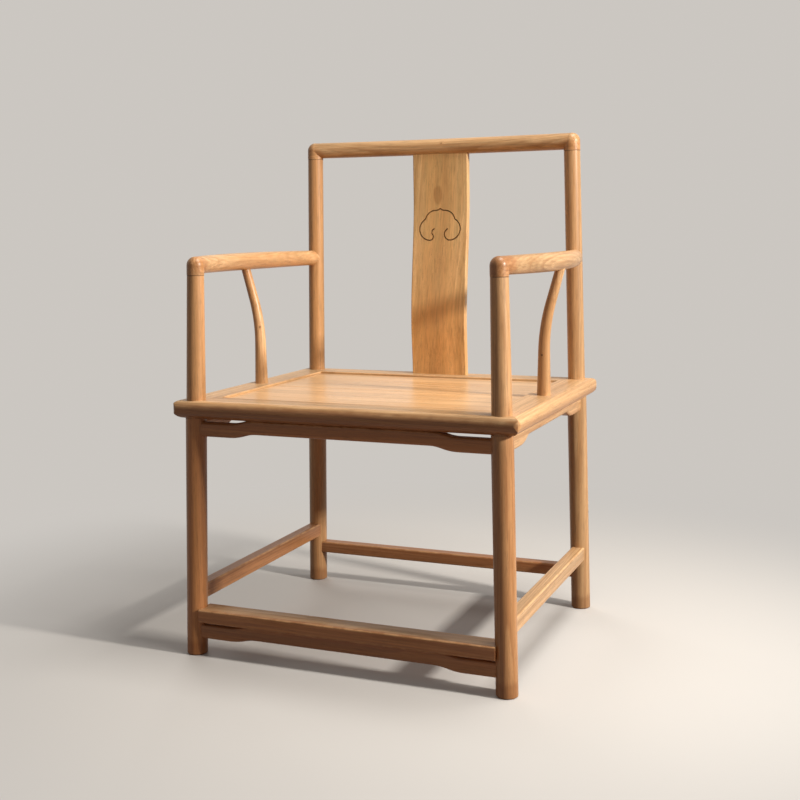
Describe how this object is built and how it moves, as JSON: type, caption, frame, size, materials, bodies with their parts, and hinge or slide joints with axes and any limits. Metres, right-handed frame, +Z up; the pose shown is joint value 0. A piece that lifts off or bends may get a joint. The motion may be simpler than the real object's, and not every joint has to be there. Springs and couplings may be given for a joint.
{
  "type": "official hat chair",
  "caption": "Square-backed wooden armchair with round members, a curved splat, bowed arms and hump-backed rails.",
  "frame": {"origin": "on the floor, at the middle of the chair's footprint", "axes": "+Z up, -Y the way the sitter faces, +X to the right seen from the front"},
  "size_m": [0.6328, 0.5198, 0.9073],
  "materials": {
    "frame_wood": "satin lacquer",
    "seat_panel": "satin lacquer",
    "splat_board": "satin lacquer",
    "hidden_wood": "bare"
  },
  "bodies": {
    "root": {"arm_strut_left": "frame_wood", "arm_strut_right": "frame_wood", "armrest_left": "frame_wood", "armrest_right": "frame_wood", "back_leg_left": "frame_wood", "back_leg_right": "frame_wood", "back_splat": "splat_board", "back_stretcher": "frame_wood", "footrest": "frame_wood", "footrest_hump": "frame_wood", "footrest_pegs": "hidden_wood", "front_leg_left": "frame_wood", "front_leg_right": "frame_wood", "hump_rail_back": "frame_wood", "hump_rail_front": "frame_wood", "hump_rail_left": "frame_wood", "hump_rail_pegs": "hidden_wood", "hump_rail_right": "frame_wood", "seat_batten_left": "hidden_wood", "seat_batten_right": "hidden_wood", "seat_board_back": "seat_panel", "seat_board_front": "seat_panel", "seat_rail_back": "frame_wood", "seat_rail_front": "frame_wood", "seat_rail_left": "frame_wood", "seat_rail_right": "frame_wood", "side_stretcher_left": "frame_wood", "side_stretcher_right": "frame_wood", "top_rail": "frame_wood"}
  },
  "joints": []
}
